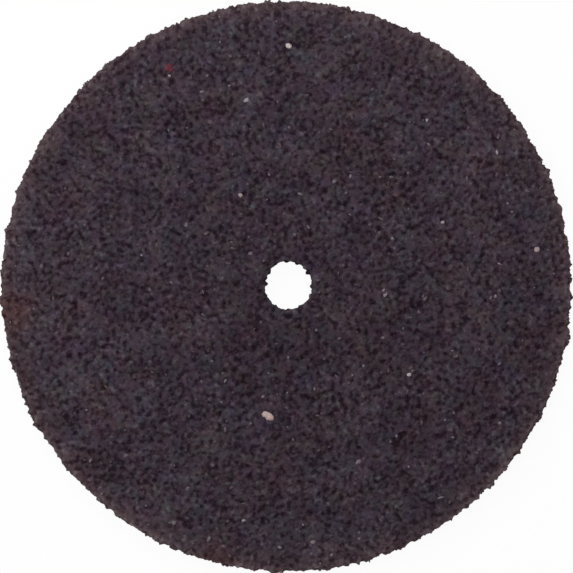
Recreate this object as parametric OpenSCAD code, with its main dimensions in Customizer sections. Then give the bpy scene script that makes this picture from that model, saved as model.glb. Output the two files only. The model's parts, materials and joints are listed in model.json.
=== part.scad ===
// Cut-off wheel: a thin disc of abrasive grain moulded in a resin bond.
// It is clamped between the flanges of a mandrel, whose screw passes through its plain hole.
// The wheel lies on its lower face, and the origin is on the hole's axis at that face.

/* [Wheel] */
// Diameter of the wheel at the middle of its rim's grains
wheel_d = 24; // [16:0.5:40]
// Thickness of the wheel between its two faces
wheel_t = 1; // [0.6:0.1:2]

/* [Arbor hole] */
// Diameter of the hole for the mandrel's screw
bore_d = 2; // [1.4:0.1:5]
// Distance from the hole's axis to the rim's centre
runout = 0.1; // [0:0.01:0.3]
// Direction of the rim's centre from the hole, in degrees anticlockwise from +X
runout_direction = 205; // [0:5:355]

/* [Grain] */
// Width of the rim that one abrasive grain takes up
grain_w = 0.3; // [0.2:0.05:0.5]
// Height of the proudest grain above the rim
grain_proud = 0.12; // [0:0.01:0.2]
// Depth of the deepest gap that a lost grain leaves in the rim
grain_gap = 0.12; // [0:0.01:0.2]
// Depth to which the rim's two corners are crumbled back
corner_wear = 0.06; // [0:0.01:0.15]
// Number that picks one arrangement of the grains
grain_seed = 5; // [1:1:99]

/* [Hidden] */

// Grains in one row round the rim, and rows of them between the two faces
row_count = round(PI * wheel_d / grain_w);
rows = max(2, round(wheel_t / grain_w));

// Share of a grain's pitch by which it strays round the rim and across it
grain_stray = 0.25;

// Three random numbers from -1 to 1 for each grain: its height, its place and its level
draws_per_grain = 3;
draws = rands(-1, 1, draws_per_grain * row_count * (rows + 1), grain_seed);

// Number of a point in the list of points, with the row closed on itself
function point_number(row, i) = row * row_count + i % row_count;

function grain_draw(row, i, kind) = draws[point_number(row, i) * draws_per_grain + kind];

function is_corner(row) = row == 0 || row == rows;

// The cube of an even draw keeps most grains near the rim, with a few far out or broken away
function grain_height(row, i) =
    let (spread = pow(grain_draw(row, i, 0), 3))
    spread * (spread > 0 ? grain_proud : grain_gap) - (is_corner(row) ? corner_wear : 0);

// Every other row is set over by half a grain, as grains pack, and the corners stay on the faces
function grain_point(row, i) =
    let (
        r = wheel_d / 2 + grain_height(row, i),
        place = i + (row % 2) / 2 + grain_stray * grain_draw(row, i, 1),
        turn = 360 * place / row_count,
        level = row + (is_corner(row) ? 0 : grain_stray * grain_draw(row, i, 2))
    )
    [r * cos(turn), r * sin(turn), wheel_t * level / rows];

// Two facets for each grain, between its row and the next one up
function grain_facets(row, i) =
    let (
        low = point_number(row, i),
        low_next = point_number(row, i + 1),
        high = point_number(row + 1, i),
        high_next = point_number(row + 1, i + 1)
    )
    row % 2 == 0
        ? [[low, high, low_next], [low_next, high, high_next]]
        : [[low, high, high_next], [low, high_next, low_next]];

// Disc whose rim is a band of grain facets, with each flat face fanned out from its middle
module grain_rimmed_blank() {
    low_middle = row_count * (rows + 1);
    high_middle = low_middle + 1;
    grains = [for (row = [0:rows], i = [0:row_count - 1]) grain_point(row, i)];
    middles = [[0, 0, 0], [0, 0, wheel_t]];
    rim = [for (row = [0:rows - 1], i = [0:row_count - 1]) each grain_facets(row, i)];
    low_face = [
        for (i = [0:row_count - 1])
            [low_middle, point_number(0, i), point_number(0, i + 1)]
    ];
    high_face = [
        for (i = [0:row_count - 1])
            [high_middle, point_number(rows, i + 1), point_number(rows, i)]
    ];
    polyhedron(points = concat(grains, middles), faces = concat(rim, low_face, high_face));
}

// The whole wheel: the blank with its hole, which is true although the rim runs out a little
module abrasive_disc() {
    color([0.22, 0.18, 0.21])
    difference() {
        translate(runout * [cos(runout_direction), sin(runout_direction), 0])
            grain_rimmed_blank();
        translate([0, 0, wheel_t / 2])
            cylinder(d = bore_d, h = 2 * wheel_t, center = true, $fn = 96);
    }
}

abrasive_disc();
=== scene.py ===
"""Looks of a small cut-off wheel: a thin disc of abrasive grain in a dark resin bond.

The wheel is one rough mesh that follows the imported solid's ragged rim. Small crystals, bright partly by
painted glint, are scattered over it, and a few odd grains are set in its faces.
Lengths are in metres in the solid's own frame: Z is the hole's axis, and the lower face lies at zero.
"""

import json
import math
import random

import bpy
from bpy.props import FloatProperty, FloatVectorProperty, IntProperty, PointerProperty
from mathutils import Color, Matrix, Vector


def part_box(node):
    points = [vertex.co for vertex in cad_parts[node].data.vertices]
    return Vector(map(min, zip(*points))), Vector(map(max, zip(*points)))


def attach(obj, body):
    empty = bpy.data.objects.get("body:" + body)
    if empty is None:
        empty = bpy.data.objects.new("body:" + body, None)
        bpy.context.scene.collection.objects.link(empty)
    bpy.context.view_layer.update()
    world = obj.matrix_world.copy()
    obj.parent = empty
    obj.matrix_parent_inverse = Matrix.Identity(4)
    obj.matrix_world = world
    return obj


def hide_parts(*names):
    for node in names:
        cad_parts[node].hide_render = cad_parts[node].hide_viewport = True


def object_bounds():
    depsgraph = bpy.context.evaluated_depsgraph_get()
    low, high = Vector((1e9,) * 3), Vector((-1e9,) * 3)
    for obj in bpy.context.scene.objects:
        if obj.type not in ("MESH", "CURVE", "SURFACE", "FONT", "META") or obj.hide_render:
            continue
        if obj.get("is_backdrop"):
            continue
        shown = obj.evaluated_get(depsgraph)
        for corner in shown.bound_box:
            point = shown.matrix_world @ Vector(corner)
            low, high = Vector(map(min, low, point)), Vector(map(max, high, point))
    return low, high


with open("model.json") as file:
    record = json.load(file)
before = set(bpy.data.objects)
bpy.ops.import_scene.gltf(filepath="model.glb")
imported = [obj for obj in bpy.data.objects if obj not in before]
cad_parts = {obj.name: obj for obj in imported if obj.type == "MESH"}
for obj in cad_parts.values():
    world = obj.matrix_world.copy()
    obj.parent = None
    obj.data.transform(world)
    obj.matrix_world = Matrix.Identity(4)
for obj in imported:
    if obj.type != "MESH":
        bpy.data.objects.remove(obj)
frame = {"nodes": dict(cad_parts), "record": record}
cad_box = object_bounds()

bl_info = {
    "name": "Cut-off wheel",
    "version": (1, 0, 0),
    "blender": (4, 5, 0),
    "location": "3D View > Sidebar > Wheel",
    "description": "Makes a small abrasive cut-off wheel and the stage that it is shown on",
    "category": "Add Mesh",
}

MM = 0.001
TAU = 2 * math.pi

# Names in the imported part
SOLID = "abrasive_disc"
BODY = "root"
BORE_MOUNT = "arbor_bore"

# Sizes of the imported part, with the rim's circle taken through its grains
low_corner, high_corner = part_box(SOLID)
THICKNESS = high_corner.z - low_corner.z
NEAR_RIM = 0.9 * high_corner.x
rim_points = [v.co for v in frame["nodes"][SOLID].data.vertices if v.co.xy.length > NEAR_RIM]
RIM_CENTRE = (sum(rim_points, Vector()) / len(rim_points)) * Vector((1, 1, 0))
RIM_R = sum((p - RIM_CENTRE).xy.length for p in rim_points) / len(rim_points)
BORE_R = next(m["dims"]["r_mm"] for m in frame["record"]["mounts"] if m["name"] == BORE_MOUNT) * MM

# Distance between two rows of even triangles, as a share of the pitch along a row
ROW_SHARE = math.sqrt(3) / 2

# The wheel's own piece, and the parts of its skin as its points number them
DISC = "bonded_disc"
FACE, RIM, BORE = range(3)

# Stains on the rim: place from the hole's axis and reach, in millimetres, and strength
STAINS = ((-11.55, -1.1, 1.5, 1.0), (-2.9, -11.5, 1.2, 0.7))

# Random number of a grain from which it stands proud
PROUD_FROM = 0.92

# Range and power of an even draw that leaves only a few points of the skin as proud splinters
SPLINTER_HEIGHT = 0.985
SPLINTER_POWER = 20.0

# Height in the field of grains from which a grain's top is level
GRAIN_TOP = 0.775

# Shifts that set the random fields apart from one another
CROSSED_SHIFT = (17, 9, 4)
WARM_SHIFT = (13, 29, 41)
GREEN_SHIFT = (31, 17, 5)
FLECK_SHIFT = (7, 3, 23)

# Radii in millimetres between which the bond gets browner, softer in contrast and lighter towards the rim,
# the lightening being painted light, and those of its last grains
BROWNING = (10.8, 12.1)
SOFTENING = (10.6, 11.8)
PAINTED_LIGHT_RADII = (2.0, 11.4)
LAST_GRAINS = (11.7, 11.9)

# Shares of red, green and blue where the bond leans most to purple and most to green
PURPLE_LEAN = (1.08, 0.915, 1.08)
GREEN_LEAN = (0.92, 1.085, 0.92)


def from_screen(red, green, blue):
    """Linear colour for one that is read off a screen, with each channel from 0 to 255."""
    shares = (channel / 255 for channel in (red, green, blue))
    return tuple(s / 12.92 if s <= 0.04045 else ((s + 0.055) / 1.055) ** 2.4 for s in shares)


# Settings

class WheelSizes(bpy.types.PropertyGroup):
    """Sizes of the grain in the wheel's skin"""

    grain_pitch: FloatProperty(
        name="Grain pitch", description="Distance between neighbouring points of a face",
        default=0.111 * MM, unit="LENGTH", precision=6)
    rim_pitch: FloatProperty(
        name="Rim pitch", description="Distance between neighbouring points of the rim",
        default=0.09 * MM, unit="LENGTH", precision=6)
    bore_pitch: FloatProperty(
        name="Bore pitch", description="Distance between neighbouring points of the hole's wall",
        default=0.055 * MM, unit="LENGTH", precision=6)
    stray: FloatProperty(
        name="Stray", description="Share of the pitch by which a point strays along the skin",
        default=0.34, subtype="FACTOR")
    grain_width: FloatProperty(
        name="Grain width", description="Distance between neighbouring grains",
        default=0.208 * MM, unit="LENGTH", precision=6)
    grain_step: FloatProperty(
        name="Grain step", description="Height by which one grain stands above or below the next",
        default=0.02 * MM, unit="LENGTH", precision=6)
    facet_tilt: FloatProperty(
        name="Facet tilt", description="Height by which every point of the skin is uneven",
        default=0.012 * MM, unit="LENGTH", precision=6)
    face_proud: FloatProperty(
        name="Face proud", description="Height of the proud grains on a face",
        default=0.03 * MM, unit="LENGTH", precision=6)
    rim_proud: FloatProperty(
        name="Rim proud", description="Height of the proud grains on the rim",
        default=0.11 * MM, unit="LENGTH", precision=6)
    bore_proud: FloatProperty(
        name="Bore proud", description="Height of the proudest tooth in the hole",
        default=0.14 * MM, unit="LENGTH", precision=6)
    bore_ease: FloatProperty(
        name="Bore ease", description="Depth by which the hole's wall lies behind its proud grains",
        default=0.006 * MM, unit="LENGTH", precision=6)
    pit_depth: FloatProperty(
        name="Pit depth", description="Depth of the gaps between grains",
        default=0.1 * MM, unit="LENGTH", precision=6)
    glint_density: FloatProperty(
        name="Glint density", description="Number of bright grains on each square metre", default=0.62e6)
    glint_smallest: FloatProperty(
        name="Smallest glint", description="Size of the smallest bright grain",
        default=0.135 * MM, unit="LENGTH", precision=6)
    glint_largest: FloatProperty(
        name="Largest glint", description="Size of the largest bright grain",
        default=0.25 * MM, unit="LENGTH", precision=6)
    seed: IntProperty(
        name="Seed", description="Number that picks one arrangement of the grain", default=7)


class WheelColours(bpy.types.PropertyGroup):
    """Colours of the wheel's bond and grains"""

    cool_bond: FloatVectorProperty(
        name="Cool bond", description="Blue-grey side of the purple bond", subtype="COLOR",
        default=from_screen(50.4, 44.5, 55.6))
    warm_bond: FloatVectorProperty(
        name="Warm bond", description="Brown side of the purple bond", subtype="COLOR",
        default=from_screen(58.6, 44.5, 49.9))
    rim: FloatVectorProperty(
        name="Rim", description="Lighter brown of the rim's cut grains", subtype="COLOR",
        default=from_screen(71, 56, 60))
    stain: FloatVectorProperty(
        name="Stain", description="Red-brown of the stains on the rim", subtype="COLOR",
        default=from_screen(60, 39, 41))
    # Painted glint: the glint colour stands partly for light glinting off the crystals' facets
    glint: FloatVectorProperty(
        name="Glint", description="Lilac-grey of the small bright grains", subtype="COLOR",
        default=from_screen(105, 97, 107))
    pale_grain: FloatVectorProperty(
        name="Pale grain", description="Near white of the odd pale grains", subtype="COLOR",
        default=from_screen(186, 175, 174))
    tan: FloatVectorProperty(
        name="Tan", description="Cream of the warmest odd pale grains", subtype="COLOR",
        default=from_screen(186, 163, 154))
    lilac: FloatVectorProperty(
        name="Lilac", description="Bluish white of the coolest odd pale grains", subtype="COLOR",
        default=from_screen(182, 173, 186))
    red_grain: FloatVectorProperty(
        name="Red grain", description="Dark red of the odd ruby grain", subtype="COLOR",
        default=from_screen(90, 36, 46))


class StageSettings(bpy.types.PropertyGroup):
    """Camera, light and floor"""

    lens: FloatProperty(
        name="Lens", description="Focal length, in millimetres for a 36 mm frame", default=200)
    key_power: FloatProperty(
        name="Key power", description="Power of the soft lamp", default=0.0321, unit="POWER")
    fill: FloatProperty(
        name="Fill", description="Strength of the even light from all round", default=0.3)
    floor: FloatVectorProperty(
        name="Floor", description="Colour of the floor", subtype="COLOR", default=(0.86, 0.86, 0.86))


# Node trees

def open_socket(sockets, name):
    """The socket of that name which the node's settings leave in use."""
    return next(s for s in sockets if s.name == name and s.enabled)


class Sketch:
    """Adds nodes to a tree and joins them, so that a tree reads as one formula after another."""

    def __init__(self, tree):
        self.tree = tree

    def feed(self, socket, value):
        """Links a node or one of its outputs to the socket, or sets the socket's own value."""
        if isinstance(value, bpy.types.Node):
            value = next(s for s in value.outputs if s.enabled)
        if isinstance(value, bpy.types.NodeSocket):
            self.tree.links.new(value, socket)
        else:
            socket.default_value = value

    def node(self, kind, feeds=None, **settings):
        """A new node with its settings made and its named inputs fed."""
        made = self.tree.nodes.new(kind)
        for name, value in settings.items():
            setattr(made, name, value)
        for name, value in (feeds or {}).items():
            self.feed(open_socket(made.inputs, name), value)
        return made

    def math(self, operation, *values, clamp=False):
        made = self.node("ShaderNodeMath", operation=operation, use_clamp=clamp)
        for socket, value in zip(made.inputs, values):
            self.feed(socket, value)
        return made.outputs[0]

    def vector(self, operation, *values, scale=None):
        made = self.node("ShaderNodeVectorMath", operation=operation)
        for socket, value in zip(made.inputs, values):
            self.feed(socket, value)
        if scale is not None:
            self.feed(made.inputs["Scale"], scale)
        return next(s for s in made.outputs if s.enabled)

    def spread(self, value, low, high, to_low=0.0, to_high=1.0, soft=False):
        """The value moved from one range to another and held within it."""
        return self.node("ShaderNodeMapRange", {
            "Value": value, "From Min": low, "From Max": high, "To Min": to_low, "To Max": to_high,
        }, interpolation_type="SMOOTHSTEP" if soft else "LINEAR").outputs["Result"]

    def noise(self, place, scale, detail=2.0, roughness=0.5):
        """An even field of lumps, with a value and a colour."""
        return self.node("ShaderNodeTexNoise", {
            "Vector": place, "Scale": scale, "Detail": detail, "Roughness": roughness,
        }).outputs

    def lumps(self, place, scale, detail=2.0, roughness=0.5, shift=None):
        """The value of such a field, or of one that is shifted away from it."""
        if shift:
            place = self.vector("ADD", place, shift)
        return self.noise(place, scale, detail, roughness)[0]

    def product(self, *values):
        made = values[0]
        for value in values[1:]:
            made = self.math("MULTIPLY", made, value)
        return made

    def mix(self, share, first, second, blend="MIX"):
        """The first colour with a share of the second blended into it."""
        made = self.node("ShaderNodeMix", data_type="RGBA", blend_type=blend)
        for name, value in (("Factor", share), ("A", first), ("B", second)):
            if isinstance(value, (tuple, Color)):
                value = (*value, 1.0)
            self.feed(open_socket(made.inputs, name), value)
        return open_socket(made.outputs, "Result")

    def random_value(self, seed, nth, kind, low, high):
        """A random value for every point, from the tree's seed and the number of the draw."""
        made = self.node("FunctionNodeRandomValue", {
            "Min": low, "Max": high, "Seed": self.math("ADD", seed, float(nth))}, data_type=kind)
        return open_socket(made.outputs, "Value")

    def carried(self, name, kind="FLOAT"):
        """The field of that name, which the points carry."""
        return self.node("GeometryNodeInputNamedAttribute", {"Name": name}, data_type=kind).outputs[0]


def new_tree(name, inputs):
    """An empty geometry tree with named inputs, its sketch, its input node and its output node."""
    tree = bpy.data.node_groups.new(name, "GeometryNodeTree")
    tree.interface.new_socket(name="Geometry", in_out="INPUT", socket_type="NodeSocketGeometry")
    tree.interface.new_socket(name="Geometry", in_out="OUTPUT", socket_type="NodeSocketGeometry")
    for socket_name, kind in inputs:
        tree.interface.new_socket(name=socket_name, in_out="INPUT", socket_type="NodeSocket" + kind)
    sketch = Sketch(tree)
    return sketch, sketch.node("NodeGroupInput").outputs, sketch.node("NodeGroupOutput").inputs


def run_tree(piece, tree, values):
    """Replaces the piece's mesh by what the tree makes of it."""
    modifier = piece.modifiers.new(tree.name, "NODES")
    modifier.node_group = tree
    for item in tree.interface.items_tree:
        if item.in_out == "INPUT" and item.name in values:
            modifier[item.identifier] = values[item.name]
    depsgraph = bpy.context.evaluated_depsgraph_get()
    made = bpy.data.meshes.new_from_object(
        piece.evaluated_get(depsgraph), preserve_all_data_layers=True, depsgraph=depsgraph)
    piece.modifiers.clear()
    bare = piece.data
    piece.data = made
    bpy.data.meshes.remove(bare)


def finish_tree(sketch, result, geometry, material):
    """Ends a tree: whole flat-faceted geometry with its material."""
    faceted = sketch.node("GeometryNodeSetShadeSmooth", {"Geometry": geometry, "Shade Smooth": False})
    whole = sketch.node("GeometryNodeRealizeInstances", {"Geometry": faceted})
    sketch.feed(result["Geometry"], sketch.node("GeometryNodeSetMaterial", {
        "Geometry": whole, "Material": material}))


def new_piece(name, mesh):
    piece = bpy.data.objects.new(name, mesh)
    bpy.context.scene.collection.objects.link(piece)
    return piece


def settle(piece, replaced=None):
    """Fixes a finished piece to the wheel's body."""
    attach(piece, BODY)
    if replaced:
        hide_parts(replaced)


# Bare skin

class Ring:
    """One closed row of points round the wheel, with its angles."""

    def __init__(self, first, turns):
        self.first = first
        self.turns = turns

    def point(self, i):
        return self.first + i % len(self.turns)

    def turn(self, i):
        return self.turns[i % len(self.turns)] + TAU * (i // len(self.turns))


class BareSkin:
    """Points and triangles of the smooth wheel, with the place of each triangle on the flat map."""

    # On the map the faces lie corner to corner, with room for the grains that stand out of the rim's circle,
    # and the rim and hole lie as strips beside them
    MAP_ROOM = 1.005
    FACE_MAP_R = 0.285
    FACE_MAP_EDGE = 0.293
    STRIPS = 5
    STRIP_LEFT = 0.012
    STRIP_TOP = 0.965
    STRIP_STEP = 0.034

    # Teeth of the hole: turn in degrees, and height as a share of the proudest
    TEETH = (
        (34, 1.0), (69, 0.65), (93, 0.75), (145, 0.7), (162, 0.8), (176, 1.0), (239, 0.6), (269, 0.5),
        (301, 0.45), (358, 0.8),
    )
    # Lowest and highest level of a tooth's middle, as shares of the thickness
    TOOTH_LEVELS = (0.35, 0.65)
    TOOTH_HALF_WIDTH = 0.125 * MM
    TOOTH_HALF_HEIGHT = 0.3 * MM

    # Waves that put the hole out of round: height in millimetres, number, and turn of a crest in degrees
    BORE_WAVES = ((0.012, 2, 92), (0.014, 3, -17))

    def __init__(self, sizes):
        self.sizes = sizes
        self.draw = random.Random(sizes.seed)
        self.teeth = []
        for turn, share in self.TEETH:
            level = self.draw.uniform(*self.TOOTH_LEVELS) * THICKNESS
            self.teeth.append((math.radians(turn), level, share))
        self.map_scale = self.FACE_MAP_R / (RIM_R * self.MAP_ROOM)
        self.points = []
        self.fields = {"zone": [], "pitch": [], "tooth": []}
        self.triangles = []
        self.map_corners = []

    def ring(self, share, z, pitch, lead, zone):
        """A ring that is a share of the way from the hole to the rim."""
        r = BORE_R + share * (RIM_R - BORE_R)
        centre = share * RIM_CENTRE
        count = round(TAU * r / pitch)
        turns = [(i + lead) * TAU / count for i in range(count)]
        made = Ring(len(self.points), turns)
        for a in turns:
            reach = r + (1 - share) * self.out_of_round(a)
            self.points.append((centre.x + reach * math.cos(a), centre.y + reach * math.sin(a), z))
        self.fields["zone"] += [zone] * count
        self.fields["pitch"] += [pitch] * count
        self.fields["tooth"] += [self.tooth(a, z) if zone == BORE else 0.0 for a in turns]
        return made

    def out_of_round(self, turn):
        """Distance by which the hole's wall lies outside its circle."""
        return sum(
            height * MM * math.cos(number * (turn - math.radians(crest)))
            for height, number, crest in self.BORE_WAVES)

    def tooth(self, turn, z):
        """Height of the hole's teeth at a place on its wall, as a share of the proudest."""
        proudest = 0.0
        for middle, level, share in self.teeth:
            across = abs((turn - middle + math.pi) % TAU - math.pi) * BORE_R / self.TOOTH_HALF_WIDTH
            up = (z - level) / self.TOOTH_HALF_HEIGHT
            proudest = max(proudest, share * (1 - across ** 2 - up ** 2))
        return proudest

    def zip_rings(self, near, far, flipped, place):
        """Fills the gap between two rings, taking the next point of whichever ring is behind."""
        i = j = 0
        while i < len(near.turns) or j < len(far.turns):
            step_far = j < len(far.turns) and (
                i == len(near.turns) or far.turn(j + 1) + far.turn(j) <= near.turn(i + 1) + near.turn(i))
            corners = [(near, i), (far, j), (far, j + 1) if step_far else (near, i + 1)]
            if step_far:
                j += 1
            else:
                i += 1
            if flipped:
                corners.reverse()
            self.triangles.append([ring.point(k) for ring, k in corners])
            middle = sum(ring.turn(k) for ring, k in corners) / 3
            self.map_corners += [place(ring.point(k), ring.turn(k), middle) for ring, k in corners]

    def on_face(self, upper):
        """Place on the map of a face's point."""
        middle = 1 - self.FACE_MAP_EDGE if upper else self.FACE_MAP_EDGE

        def place(point, turn, middle_turn):
            x, y, _ = self.points[point]
            u = middle + (x - RIM_CENTRE.x) * self.map_scale
            return u, middle + (y - RIM_CENTRE.y) * self.map_scale
        return place

    def on_strip(self, r, strips, first_strip):
        """Place on the map of a point of the rim or the hole, which are cut into strips."""
        length = TAU / strips

        def place(point, turn, middle_turn):
            strip = min(int(middle_turn / length), strips - 1)
            u = self.STRIP_LEFT + (turn - strip * length) * r * self.map_scale
            v = self.STRIP_TOP - (first_strip + strip) * self.STRIP_STEP
            return u, v + self.points[point][2] * self.map_scale
        return place

    def wall(self, share, pitch, zone):
        """Rings up the rim or the hole, from the lower face to the upper one."""
        rows = round(THICKNESS / (pitch * ROW_SHARE))
        return [self.ring(share, THICKNESS * k / rows, pitch, (k % 2) / 2, zone) for k in range(rows + 1)]

    def fill(self, rings, flipped, place):
        for near, far in zip(rings, rings[1:]):
            self.zip_rings(near, far, flipped, place)

    def face(self, upper, inner, outer):
        """Fills a face from the hole's last ring to the rim's."""
        pitch = self.sizes.grain_pitch
        rows = round((RIM_R - BORE_R) / (pitch * ROW_SHARE))
        rings = [inner]
        for k in range(1, rows):
            rings.append(self.ring(k / rows, THICKNESS * upper, pitch, self.draw.random(), FACE))
        rings.append(outer)
        self.fill(rings, not upper, self.on_face(upper))

    def build(self):
        """The finished mesh, with its fields and its map."""
        rim = self.wall(1, self.sizes.rim_pitch, RIM)
        bore = self.wall(0, self.sizes.bore_pitch, BORE)
        self.face(True, bore[-1], rim[-1])
        self.face(False, bore[0], rim[0])
        self.fill(rim, True, self.on_strip(RIM_R, self.STRIPS, 0))
        self.fill(bore, False, self.on_strip(BORE_R, 1, self.STRIPS))
        mesh = bpy.data.meshes.new("bare_skin")
        mesh.from_pydata(self.points, [], self.triangles)
        for name, kind in (("zone", "INT"), ("pitch", "FLOAT"), ("tooth", "FLOAT")):
            mesh.attributes.new(name, kind, "POINT").data.foreach_set("value", self.fields[name])
        flat_map = mesh.uv_layers.new(name="OFBake")
        flat_map.uv.foreach_set("vector", [c for corner in self.map_corners for c in corner])
        mesh.validate()
        return mesh


# Grain of the skin

def askew(sketch, place, turn=(0.6, 0.5, 0.3)):
    """The place turned about every axis, so that no field of lumps lines up with the wheel's faces."""
    return sketch.node("ShaderNodeVectorRotate", {"Vector": place, "Rotation": turn},
                       rotation_type="EULER_XYZ").outputs[0]


def grain_field(sketch, grains):
    """Height of a place between the deepest gap, 0, and the highest grain, 1, and three random numbers
    of the grain that it lies in. The place is given in widths of a grain.
    Two fields of lumps cross at a right angle, so that no direction shows on a face.
    """
    first = askew(sketch, grains)
    crossed = askew(sketch, grains, (0, 0, math.pi / 2))
    second = askew(sketch, sketch.vector("ADD", crossed, CROSSED_SHIFT))
    lumps = sketch.math("ADD", sketch.lumps(first, 1.0, 1.0), sketch.lumps(second, 1.0, 1.0))
    crowd = sketch.math("SUBTRACT", sketch.lumps(first, 0.22), 0.5)
    height = sketch.spread(sketch.math("MULTIPLY_ADD", crowd, 0.4, lumps), 0.56, 1.36)
    cell = sketch.node("ShaderNodeTexVoronoi", {"Vector": first, "Scale": 0.8}).outputs
    return height, sketch.node("ShaderNodeSeparateXYZ", {"Vector": cell["Color"]}).outputs


def grain_skin_tree(material):
    """Roughens the bare skin: its rim follows the solid's, and grains and gaps cover it."""
    sketch, given, result = new_tree("Grain skin", (
        ("Solid", "Object"), ("Rim Centre", "Vector"), ("Rim Radius", "Float"), ("Thickness", "Float"),
        ("Stray", "Float"), ("Grain Width", "Float"), ("Grain Step", "Float"), ("Facet Tilt", "Float"),
        ("Face Proud", "Float"), ("Rim Proud", "Float"), ("Bore Proud", "Float"), ("Bore Ease", "Float"),
        ("Pit Depth", "Float"), ("Seed", "Int"),
    ))
    rim_zone = 0.8 * MM
    corner_room = 0.03 * MM
    reach = 1 * MM
    seed = given["Seed"]

    def by_zone(on_face, on_rim, in_bore):
        switch = sketch.node("GeometryNodeIndexSwitch", data_type="FLOAT")
        switch.index_switch_items.new()
        feeds = {"Index": sketch.carried("zone", "INT"), FACE: on_face, RIM: on_rim, BORE: in_bore}
        for name, value in feeds.items():
            sketch.feed(open_socket(switch.inputs, str(name)), value)
        return switch.outputs[0]

    normal = sketch.node("GeometryNodeInputNormal").outputs["Normal"]
    place = sketch.node("GeometryNodeInputPosition").outputs[0]

    # Points stray along the skin and not out of it
    any_way = sketch.random_value(seed, 0, "FLOAT_VECTOR", (-1, -1, -1), (1, 1, 1))
    outward_part = sketch.vector("SCALE", normal, scale=sketch.vector("DOT_PRODUCT", any_way, normal))
    along = sketch.vector("SUBTRACT", any_way, outward_part)
    stray = sketch.math("MULTIPLY", given["Stray"], sketch.carried("pitch"))
    strayed = sketch.vector("ADD", place, sketch.vector("SCALE", along, scale=stray))

    # The outer part of the skin is drawn in or out to the solid's ragged rim
    from_middle = sketch.vector("SUBTRACT", strayed, given["Rim Centre"])
    flat = sketch.vector("MULTIPLY", from_middle, (1, 1, 0))
    r = sketch.vector("LENGTH", flat)
    away = sketch.vector("NORMALIZE", flat)
    height = sketch.node("ShaderNodeSeparateXYZ", {"Vector": strayed}).outputs["Z"]
    highest = sketch.math("SUBTRACT", given["Thickness"], corner_room)
    level = sketch.node("ShaderNodeClamp", {"Value": height, "Min": corner_room, "Max": highest})
    start = sketch.vector("SCALE", away, scale=sketch.math("ADD", given["Rim Radius"], reach))
    start = sketch.vector("ADD", start, given["Rim Centre"])
    start = sketch.vector("ADD", start, sketch.node("ShaderNodeCombineXYZ", {"Z": level}).outputs[0])
    solid = sketch.node("GeometryNodeObjectInfo", {"Object": given["Solid"]}).outputs["Geometry"]
    ray = sketch.node("GeometryNodeRaycast", {
        "Target Geometry": solid, "Source Position": start,
        "Ray Direction": sketch.vector("SCALE", away, scale=-1.0), "Ray Length": 3 * reach})
    hit = sketch.vector("SUBTRACT", ray.outputs["Hit Position"], given["Rim Centre"])
    rim_r = sketch.vector("LENGTH", sketch.vector("MULTIPLY", hit, (1, 1, 0)))
    pull = sketch.spread(r, sketch.math("SUBTRACT", given["Rim Radius"], rim_zone), given["Rim Radius"])
    change = sketch.math("MULTIPLY", pull, sketch.math("SUBTRACT", rim_r, given["Rim Radius"]))
    fitted = sketch.vector("ADD", strayed, sketch.vector("SCALE", away, scale=change))

    # Lumps and gaps cover the skin, each grain has its own level, and a few stand proud
    grains = sketch.vector("SCALE", fitted, scale=sketch.math("DIVIDE", 1.0, given["Grain Width"]))
    height, numbers = grain_field(sketch, grains)
    relief = sketch.math("MULTIPLY", sketch.spread(height, 0.1, GRAIN_TOP, -1.0, 0.0), given["Pit Depth"])
    step = sketch.math("MULTIPLY", sketch.spread(numbers["X"], 0.0, 1.0, -1.0, 1.0), given["Grain Step"])
    whole_grain = sketch.math("MULTIPLY", sketch.math("GREATER_THAN", numbers["Y"], PROUD_FROM), height)
    even_draw = sketch.random_value(seed, 3, "FLOAT", 0.0, SPLINTER_HEIGHT)
    splinter = sketch.math("POWER", even_draw, SPLINTER_POWER)
    standing = sketch.math("MAXIMUM", whole_grain, splinter)
    proud = by_zone(
        sketch.math("MULTIPLY", standing, given["Face Proud"]),
        sketch.math("MULTIPLY", standing, given["Rim Proud"]),
        sketch.math("MULTIPLY", sketch.carried("tooth"), given["Bore Proud"]))
    tilt = sketch.random_value(seed, 1, "FLOAT", -1.0, 1.0)
    uneven = sketch.math("MULTIPLY", tilt, given["Facet Tilt"])
    lift = sketch.math("ADD", sketch.math("ADD", relief, step), sketch.math("ADD", proud, uneven))
    lift = sketch.math("SUBTRACT", lift, by_zone(0.0, 0.0, given["Bore Ease"]))

    kept = sketch.node("GeometryNodeStoreNamedAttribute", {
        "Geometry": given["Geometry"], "Name": "rest", "Value": fitted},
        data_type="FLOAT_VECTOR", domain="POINT")
    kept = sketch.node("GeometryNodeStoreNamedAttribute", {
        "Geometry": kept, "Name": "facet", "Value": sketch.random_value(seed, 2, "FLOAT", 0.0, 1.0)},
        data_type="FLOAT", domain="FACE")
    moved = sketch.node("GeometryNodeSetPosition", {
        "Geometry": kept, "Position": fitted, "Offset": sketch.vector("SCALE", normal, scale=lift)})
    finish_tree(sketch, result, moved, material)
    return sketch.tree


# Loose grains

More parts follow.
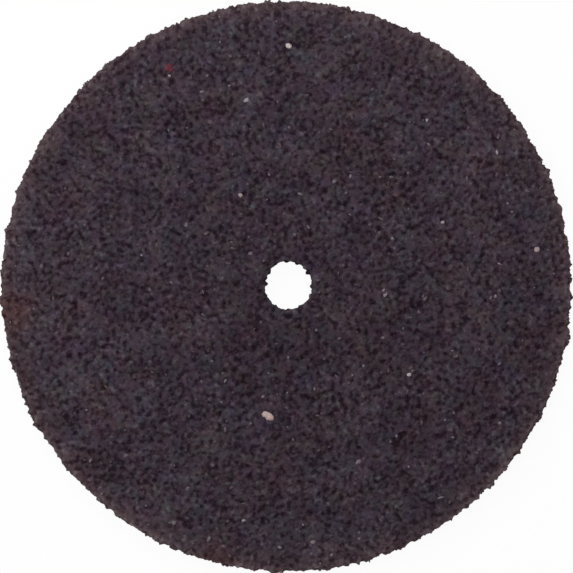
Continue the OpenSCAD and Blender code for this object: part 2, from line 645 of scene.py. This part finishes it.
def measured_grain_tree(material):
    """Sets an uneven grain at every point of the piece, with the size and turn that the point carries."""
    sketch, given, result = new_tree("Measured grains", (("Lump", "Float"), ("Lump Width", "Float")))
    ball = sketch.node("GeometryNodeMeshIcoSphere", {"Radius": 0.5, "Subdivisions": 3}).outputs["Mesh"]
    grains = sketch.node("GeometryNodeInstanceOnPoints", {
        "Points": given["Geometry"], "Instance": ball,
        "Rotation": sketch.carried("turn", "FLOAT_VECTOR"),
        "Scale": sketch.carried("size", "FLOAT_VECTOR")})
    whole = sketch.node("GeometryNodeRealizeInstances", {"Geometry": grains})
    place = sketch.node("GeometryNodeInputPosition").outputs[0]
    fineness = sketch.math("DIVIDE", 1.0, given["Lump Width"])
    field = sketch.noise(sketch.vector("SCALE", place, scale=fineness), 1.0)["Color"]
    push = sketch.vector("SCALE", sketch.vector("SUBTRACT", field, (0.5, 0.5, 0.5)), scale=given["Lump"])
    uneven = sketch.node("GeometryNodeSetPosition", {"Geometry": whole, "Offset": push})
    finish_tree(sketch, result, uneven, material)
    return sketch.tree


def scattered_grain_tree(material):
    """Scatters small crystals over a skin, half sunk in it, each with its own size, turn and shade."""
    sketch, given, result = new_tree("Scattered grains", (
        ("Skin", "Object"), ("Density", "Float"), ("Smallest", "Float"), ("Largest", "Float"),
        ("Seed", "Int"),
    ))
    slimmest = (0.6, 0.5, 0.5)
    stoutest = (1.7, 1.1, 0.9)
    seed = given["Seed"]
    skin = sketch.node("GeometryNodeObjectInfo", {"Object": given["Skin"]}).outputs["Geometry"]
    points = sketch.node("GeometryNodeDistributePointsOnFaces", {
        "Mesh": skin, "Density": given["Density"], "Seed": seed}).outputs["Points"]
    shaded = sketch.node("GeometryNodeStoreNamedAttribute", {
        "Geometry": points, "Name": "shade", "Value": sketch.random_value(seed, 1, "FLOAT", 0.0, 1.0)},
        data_type="FLOAT", domain="POINT")
    ball = sketch.node("GeometryNodeMeshIcoSphere", {"Radius": 0.5, "Subdivisions": 1}).outputs["Mesh"]
    form = sketch.random_value(seed, 2, "FLOAT_VECTOR", slimmest, stoutest)
    size = sketch.random_value(seed, 3, "FLOAT", given["Smallest"], given["Largest"])
    turn = sketch.random_value(seed, 4, "FLOAT_VECTOR", (0, 0, 0), (TAU, TAU, TAU))
    grains = sketch.node("GeometryNodeInstanceOnPoints", {
        "Points": shaded, "Instance": ball, "Rotation": turn,
        "Scale": sketch.vector("SCALE", form, scale=size)})
    finish_tree(sketch, result, grains, material)
    return sketch.tree


# Finishes

def new_material(name):
    """A material with its sketch and its shader."""
    material = bpy.data.materials.new(name)
    material.use_nodes = True
    sketch = Sketch(material.node_tree)
    return material, sketch, material.node_tree.nodes["Principled BSDF"]


def in_millimetres(sketch):
    place = sketch.node("ShaderNodeTexCoord").outputs["Object"]
    return sketch.vector("SCALE", place, scale=1 / MM)


def attribute(sketch, name, output="Fac"):
    return sketch.node("ShaderNodeAttribute", attribute_name=name).outputs[output]


def grit_group():
    """Fine grit that every grain of the wheel has: uneven tone, gloss and height."""
    if "Grit" in bpy.data.node_groups:
        return bpy.data.node_groups["Grit"]
    tree = bpy.data.node_groups.new("Grit", "ShaderNodeTree")
    tree.interface.new_socket(name="Place", in_out="INPUT", socket_type="NodeSocketVector")
    tree.interface.new_socket(name="Fineness", in_out="INPUT", socket_type="NodeSocketFloat")
    for name in ("Tone", "Gloss", "Height"):
        tree.interface.new_socket(name=name, in_out="OUTPUT", socket_type="NodeSocketFloat")
    sketch = Sketch(tree)
    given = sketch.node("NodeGroupInput").outputs
    result = sketch.node("NodeGroupOutput").inputs
    grit = sketch.lumps(given["Place"], given["Fineness"], 3.0, 0.6)
    sketch.feed(result["Tone"], sketch.spread(grit, 0.25, 0.75))
    sketch.feed(result["Gloss"], sketch.spread(grit, 0.3, 0.7))
    sketch.feed(result["Height"], grit)
    return tree


def add_grit(sketch, shader, place, fineness, roughness, bump):
    """Gives a shader its grit, and returns the grit's tone."""
    grit = sketch.node("ShaderNodeGroup", node_tree=grit_group())
    sketch.feed(grit.inputs["Place"], place)
    sketch.feed(grit.inputs["Fineness"], fineness)
    sketch.feed(shader.inputs["Roughness"], sketch.spread(grit.outputs["Gloss"], 0.0, 1.0, *roughness))
    sketch.feed(shader.inputs["Normal"], sketch.node("ShaderNodeBump", {
        "Height": grit.outputs["Height"], "Strength": 0.5, "Distance": bump}))
    return grit.outputs["Tone"]


def toned(sketch, colour, tone, green=1.15, blue=1.03):
    """The colour made darker or lighter by a tone around 1, with green and blue changing most."""
    channels = {
        "X": tone, "Y": sketch.math("POWER", tone, green), "Z": sketch.math("POWER", tone, blue)}
    shade = sketch.node("ShaderNodeCombineXYZ", channels).outputs[0]
    return sketch.mix(1.0, colour, shade, "MULTIPLY")


def bond_stain(sketch, place):
    """How strongly each place is stained, by its distance from the middles of the stains."""
    strength = 0.0
    for x, y, reach, most in STAINS:
        away = sketch.vector("SUBTRACT", place, (x, y, 0))
        distance = sketch.vector("LENGTH", sketch.vector("MULTIPLY", away, (1, 1, 0)))
        here = sketch.spread(distance, reach, 0.0, 0.0, most, soft=True)
        strength = sketch.math("MAXIMUM", strength, here)
    patches = sketch.spread(sketch.lumps(place, 2.5), 0.25, 0.5)
    return sketch.math("MULTIPLY", strength, patches)


def bond_material(colours, grain_width):
    """Dark resin and grain, mottled cool and warm, with gaps black from resin and painted shade, and a
    lighter, stained rim.
    """
    material, sketch, shader = new_material("resin_bond_and_grain")
    rest = attribute(sketch, "rest", "Vector")
    flat_place = sketch.vector("SCALE", rest, scale=1 / MM)
    place = askew(sketch, flat_place)
    height, numbers = grain_field(sketch, sketch.vector("SCALE", rest, scale=1 / grain_width))
    from_middle = sketch.vector("SUBTRACT", flat_place, tuple(RIM_CENTRE / MM))
    r = sketch.vector("LENGTH", sketch.vector("MULTIPLY", from_middle, (1, 1, 0)))

    # The hue drifts in patches of a millimetre or two, and a little from grain to grain
    warm = sketch.spread(sketch.lumps(place, 0.8, 5.0, 0.71, WARM_SHIFT), 0.29, 0.71)
    own_warmth = sketch.math("SUBTRACT", numbers["Z"], 0.5)
    warm = sketch.math("MULTIPLY_ADD", own_warmth, 0.35, warm, clamp=True)
    colour = sketch.mix(warm, colours.cool_bond, colours.warm_bond)
    green = sketch.spread(sketch.lumps(place, 1.3, 3.0, 0.68, GREEN_SHIFT), 0.3, 0.7)
    colour = sketch.mix(1.0, colour, sketch.mix(green, PURPLE_LEAN, GREEN_LEAN), "MULTIPLY")

    # The rim is lighter and browner, and stained in places
    edge = sketch.math("POWER", sketch.spread(r, *BROWNING), 2.0)
    colour = sketch.mix(edge, colour, colours.rim)
    colour = sketch.mix(bond_stain(sketch, flat_place), colour, colours.stain)

    # Gaps are dark, partly from dark resin and partly painted shade, and flecks, lumps, grains and their
    # facets each have their own depth of colour
    contrast = sketch.spread(r, *SOFTENING, 1.65, 1.25)
    gap_resin_and_shade = sketch.math("POWER", sketch.spread(height, 0.0, GRAIN_TOP, 0.45, 1.11, soft=True), contrast)
    crests = sketch.spread(sketch.lumps(place, 5.0, 0.8, shift=FLECK_SHIFT), 0.46, 0.85)
    flecks = sketch.math("MULTIPLY_ADD", sketch.math("POWER", crests, 1.6), 1.15, 0.975)
    broad_lumps = sketch.spread(sketch.lumps(place, 0.5), 0.3, 0.7, 0.86, 1.14)
    small_lumps = sketch.spread(sketch.lumps(place, 1.6), 0.3, 0.7, 0.88, 1.12)
    each_grain = sketch.spread(numbers["X"], 0.0, 1.0, 0.92, 1.08)
    each_facet = sketch.spread(attribute(sketch, "facet"), 0.0, 1.0, 0.97, 1.03)
    # Painted light: the bond gets lighter from the hole out to the rim
    outward = sketch.spread(r, *PAINTED_LIGHT_RADII, 0.97, 1.1)
    last_grains = sketch.spread(r, *LAST_GRAINS, 1.0, 1.2)
    grit = add_grit(sketch, shader, place, fineness=9.0, roughness=(0.65, 0.95), bump=0.015 * MM)
    tone = sketch.product(
        gap_resin_and_shade, flecks, broad_lumps, small_lumps, each_grain, each_facet, outward, last_grains,
        sketch.spread(grit, 0.0, 1.0, 0.95, 1.05))
    sketch.feed(shader.inputs["Base Color"], toned(sketch, colour, tone, green=1.25, blue=1.09))
    shader.inputs["Specular IOR Level"].default_value = 0.06
    return material


def grain_material(name, colour, colours, tones, specular):
    """A single mineral grain: its colour, with its own shade and grit, more lilac or tan by its warmth."""
    material, sketch, shader = new_material(name)
    grit = add_grit(
        sketch, shader, in_millimetres(sketch), fineness=16.0, roughness=(0.4, 0.8), bump=0.01 * MM)
    tone = sketch.product(sketch.spread(grit, 0.0, 1.0, *tones), attribute(sketch, "shade"))
    warmth = attribute(sketch, "warmth")
    hue = sketch.mix(sketch.spread(warmth, 0.0, -1.0), colour, colours.lilac)
    hue = sketch.mix(sketch.spread(warmth, 0.0, 1.0), hue, colours.tan)
    sketch.feed(shader.inputs["Base Color"], toned(sketch, hue, tone))
    shader.inputs["Specular IOR Level"].default_value = specular
    return material


def glint_material(colours):
    """Small crystals, from as dark as the bond to lilac-grey, the lighter ones partly a painted glint."""
    material, sketch, shader = new_material("bright_grain")
    grit = add_grit(
        sketch, shader, in_millimetres(sketch), fineness=16.0, roughness=(0.35, 0.7), bump=0.01 * MM)
    bright = sketch.math("POWER", attribute(sketch, "shade"), 3.0)
    colour = sketch.mix(bright, colours.warm_bond, colours.glint)
    tone = sketch.spread(grit, 0.0, 1.0, 0.85, 1.25)
    sketch.feed(shader.inputs["Base Color"], toned(sketch, colour, tone))
    shader.inputs["Specular IOR Level"].default_value = 0.4
    return material


# Pieces

class MakeBondedDisc(bpy.types.Operator):
    """Make the wheel itself, a rough disc with a ragged rim and hole"""

    bl_idname = "cutoff_wheel.make_bonded_disc"
    bl_label = "Bonded disc"

    def execute(self, context):
        sizes = context.scene.wheel_sizes
        material = bond_material(context.scene.wheel_colours, sizes.grain_width)
        piece = new_piece(DISC, BareSkin(sizes).build())
        run_tree(piece, grain_skin_tree(material), {
            "Solid": frame["nodes"][SOLID], "Rim Centre": RIM_CENTRE, "Rim Radius": RIM_R,
            "Thickness": THICKNESS, "Stray": sizes.stray,
            "Grain Width": sizes.grain_width, "Grain Step": sizes.grain_step,
            "Facet Tilt": sizes.facet_tilt, "Face Proud": sizes.face_proud, "Rim Proud": sizes.rim_proud,
            "Bore Proud": sizes.bore_proud, "Bore Ease": sizes.bore_ease, "Pit Depth": sizes.pit_depth,
            "Seed": sizes.seed,
        })
        settle(piece, SOLID)
        return {"FINISHED"}


class MakeGlintGrains(bpy.types.Operator):
    """Make the small crystals, bright partly by painted glint, that are scattered over the wheel"""

    bl_idname = "cutoff_wheel.make_glint_grains"
    bl_label = "Glint grains"

    def execute(self, context):
        sizes = context.scene.wheel_sizes
        material = glint_material(context.scene.wheel_colours)
        piece = new_piece("glint_grains", bpy.data.meshes.new("no_grains"))
        run_tree(piece, scattered_grain_tree(material), {
            "Skin": bpy.data.objects[DISC], "Density": sizes.glint_density,
            "Smallest": sizes.glint_smallest, "Largest": sizes.glint_largest, "Seed": sizes.seed,
        })
        settle(piece)
        return {"FINISHED"}


class MakeOddGrains(bpy.types.Operator):
    """Make the few pale and red grains that stand out from the rest"""

    bl_idname = "cutoff_wheel.make_odd_grains"
    bl_label = "Odd grains"

    # Place from the hole's axis, length and width in millimetres, turn in degrees, share of full colour
    # and warmth, from lilac at -1 to tan at 1
    PALE = (
        (0.0, 10.07, 0.25, 0.21, 0, 1.12, 0.1), (-1.77, 7.79, 0.31, 0.17, 25, 0.62, -0.2),
        (-2.03, 3.79, 0.21, 0.19, 0, 0.68, 0.4), (-0.93, -5.44, 0.44, 0.32, -15, 0.95, 0.7),
        (-0.8, -5.55, 0.38, 0.28, -5, 1.0, 1), (-0.83, -5.45, 0.32, 0.26, -30, 0.97, 0.8),
        (10.44, 1.5, 0.28, 0.25, 70, 0.72, 0.4),
        (8.7, -0.45, 0.17, 0.13, 60, 0.43, 0.5), (6.48, 2.66, 0.18, 0.14, 20, 0.66, -0.5),
        (5.07, -3.74, 0.21, 0.15, 15, 1.02, -0.2), (-5.0, 8.81, 0.15, 0.14, 0, 0.6, 0.3),
        (5.82, 6.95, 0.14, 0.13, 0, 0.62, -1), (8.76, 5.59, 0.21, 0.11, 85, 0.62, -1),
        (4.07, -0.38, 0.22, 0.14, 65, 0.54, -1), (4.0, -0.2, 0.16, 0.11, 55, 0.46, -1),
        (-1.88, -9.87, 0.17, 0.13, 20, 0.56, -0.6), (1.03, -10.78, 0.24, 0.19, 10, 0.39, 0.1),
        (2.94, -7.42, 0.3, 0.21, 50, 0.34, -0.8),
    )
    RED = (
        (-5.1, 9.16, 0.38, 0.36, 30, 1.1, 0), (-4.93, 9.07, 0.28, 0.22, -20, 0.75, 0),
        (-5.17, 9.21, 0.28, 0.26, -30, 1.15, 0), (-5.0, 9.22, 0.27, 0.26, 10, 1.0, 0),
    )

    # Number of pale grains on the lower face, and the ring that they lie in, in millimetres
    PALE_BELOW = 7
    RING_BELOW = (2.5, 11)

    # A grain's height as a share of its width, and the share of that height which stands out of the face
    FLATNESS = 0.8
    PROUD_SHARE = 0.22

    # Height and width of the lumps on a grain
    LUMP = 0.1 * MM
    LUMP_WIDTH = 0.16 * MM

    def execute(self, context):
        sizes = context.scene.wheel_sizes
        colours = context.scene.wheel_colours
        pale = [self.placed(grain, True) for grain in self.PALE]
        pale += [self.placed(grain, False) for grain in self.drawn(sizes.seed)]
        red = [self.placed(grain, True) for grain in self.RED]
        self.make("pale_grains", pale, grain_material(
            "pale_grain", colours.pale_grain, colours, (0.7, 1.1), 0.3))
        self.make("red_grain", red, grain_material(
            "red_grain", colours.red_grain, colours, (0.6, 1.2), 0.2))
        return {"FINISHED"}

    def drawn(self, seed):
        """Grains of the same kinds for the lower face, at random places."""
        draw = random.Random(seed)
        for _ in range(self.PALE_BELOW):
            r = draw.uniform(*self.RING_BELOW)
            turn = draw.uniform(0, TAU)
            yield r * math.cos(turn), r * math.sin(turn), *draw.choice(self.PALE)[2:]

    def placed(self, grain, upper):
        """Middle, size, turn, shade and warmth of a grain that stands a little out of a face."""
        x, y, length, width, spin, shade, warmth = grain
        tall = width * self.FLATNESS * MM
        out = tall * (self.PROUD_SHARE - 0.5)
        z = THICKNESS + out if upper else -out
        size = (length * MM, width * MM, tall)
        return (x * MM, y * MM, z), size, (0, 0, math.radians(spin)), shade, warmth

    def make(self, name, grains, material):
        """Makes one piece of the placed grains."""
        mesh = bpy.data.meshes.new(name + "_middles")
        middles, grain_sizes, turns, shades, warmths = zip(*grains)
        mesh.from_pydata(middles, [], [])
        for field, vectors in (("size", grain_sizes), ("turn", turns)):
            layer = mesh.attributes.new(field, "FLOAT_VECTOR", "POINT")
            layer.data.foreach_set("vector", [c for vector in vectors for c in vector])
        for field, values in (("shade", shades), ("warmth", warmths)):
            mesh.attributes.new(field, "FLOAT", "POINT").data.foreach_set("value", values)
        piece = new_piece(name, mesh)
        run_tree(piece, measured_grain_tree(material), {"Lump": self.LUMP, "Lump Width": self.LUMP_WIDTH})
        settle(piece)


class SetStage(bpy.types.Operator):
    """Set up the white floor, the soft light and the camera that looks straight down"""

    bl_idname = "cutoff_wheel.set_stage"
    bl_label = "Stage"

    # Sizes and place of the floor and lamp, and the share of plain white in the floor as it is seen
    FLOOR_SIZE = 1.2
    LAMP_SIZE = 0.06
    LAMP_PLACE = (-0.016, 0.0172, 0.05)
    WHITE_SHARE = 0.95

    # Width of the camera's sensor in millimetres, and in pixels the picture's width, the wheel's radius
    # and how far the wheel's middle lies left of the picture's
    SENSOR = 36
    FRAME_PX = 573
    PHOTO_RIM_R_PX = 285.1
    PHOTO_SHIFT_PX = 0.2

    def execute(self, context):
        settings = context.scene.wheel_stage
        self.add_floor(settings)
        self.add_light(context.scene, settings)
        self.add_camera(context.scene, settings)
        context.scene.view_settings.view_transform = "Standard"
        return {"FINISHED"}

    def seen_directly(self, sketch):
        """1 where the camera sees a surface itself, in a mirror or through glass."""
        path = sketch.node("ShaderNodeLightPath").outputs
        seen = sketch.math("MAXIMUM", path["Is Camera Ray"], path["Is Glossy Ray"])
        return sketch.math("MAXIMUM", seen, path["Is Transmission Ray"])

    def add_floor(self, settings):
        half = self.FLOOR_SIZE / 2
        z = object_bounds()[0][2]
        corners = [(-half, -half, z), (half, -half, z), (half, half, z), (-half, half, z)]
        mesh = bpy.data.meshes.new("floor")
        mesh.from_pydata(corners, [], [(0, 1, 2, 3)])
        floor = new_piece("floor", mesh)
        material, sketch, shader = new_material("white_floor")
        shader.inputs["Base Color"].default_value = (*settings.floor, 1)
        shader.inputs["Roughness"].default_value = 0.9
        shader.inputs["Specular IOR Level"].default_value = 0
        white = sketch.node("ShaderNodeEmission", {"Color": (1, 1, 1, 1), "Strength": 1.0})
        share = sketch.math("MULTIPLY", self.seen_directly(sketch), self.WHITE_SHARE)
        both = sketch.node("ShaderNodeMixShader")
        for socket, value in zip(both.inputs, (share, shader, white)):
            sketch.feed(socket, value)
        output = material.node_tree.nodes["Material Output"]
        sketch.feed(output.inputs["Surface"], both)
        mesh.materials.append(material)
        floor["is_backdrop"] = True

    def add_light(self, scene, settings):
        lamp = bpy.data.lights.new("key", "AREA")
        lamp.size = self.LAMP_SIZE
        lamp.energy = settings.key_power
        key = bpy.data.objects.new("key", lamp)
        scene.collection.objects.link(key)
        key.visible_camera = False
        key.location = self.LAMP_PLACE
        key.rotation_euler = (-key.location).to_track_quat("-Z", "Y").to_euler()
        world = bpy.data.worlds.new("studio")
        world.use_nodes = True
        scene.world = world
        sketch = Sketch(world.node_tree)
        background = world.node_tree.nodes["Background"]
        strength = sketch.spread(self.seen_directly(sketch), 0.0, 1.0, settings.fill, 1.0)
        background.inputs["Color"].default_value = (1, 1, 1, 1)
        sketch.feed(background.inputs["Strength"], strength)

    def add_camera(self, scene, settings):
        camera = bpy.data.cameras.new("camera")
        camera.lens = settings.lens
        camera.sensor_width = self.SENSOR
        camera.clip_start = 1 * MM
        eye = bpy.data.objects.new("camera", camera)
        scene.collection.objects.link(eye)
        pixel = RIM_R / self.PHOTO_RIM_R_PX
        distance = self.FRAME_PX * pixel * settings.lens / self.SENSOR
        eye.location = RIM_CENTRE + Vector((self.PHOTO_SHIFT_PX * pixel, 0, THICKNESS + distance))
        scene.camera = eye


class WheelPanel(bpy.types.Panel):
    """Lists the wheel's settings and the steps that make it"""

    bl_idname = "CUTOFFWHEEL_PT_panel"
    bl_label = "Cut-off wheel"
    bl_space_type = "VIEW_3D"
    bl_region_type = "UI"
    bl_category = "Wheel"

    def draw(self, context):
        for group in (context.scene.wheel_sizes, context.scene.wheel_colours, context.scene.wheel_stage):
            box = self.layout.box()
            for name in group.__annotations__:
                box.prop(group, name)
        for step in STEPS:
            self.layout.operator(step.bl_idname)


STEPS = (MakeBondedDisc, MakeGlintGrains, MakeOddGrains, SetStage)
SETTINGS = {"wheel_sizes": WheelSizes, "wheel_colours": WheelColours, "wheel_stage": StageSettings}
CLASSES = (*SETTINGS.values(), *STEPS, WheelPanel)


def register():
    for cls in CLASSES:
        bpy.utils.register_class(cls)
    for name, group in SETTINGS.items():
        setattr(bpy.types.Scene, name, PointerProperty(type=group))


def unregister():
    for name in SETTINGS:
        delattr(bpy.types.Scene, name)
    for cls in reversed(CLASSES):
        bpy.utils.unregister_class(cls)


def main():
    register()
    bpy.ops.cutoff_wheel.make_bonded_disc()
    bpy.ops.cutoff_wheel.make_glint_grains()
    bpy.ops.cutoff_wheel.make_odd_grains()
    bpy.ops.cutoff_wheel.set_stage()
    boxes = {"cad": cad_box, "visual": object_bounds()}
    {name: [list(corner) for corner in box] for name, box in boxes.items()}


if __name__ == "__main__":
    main()
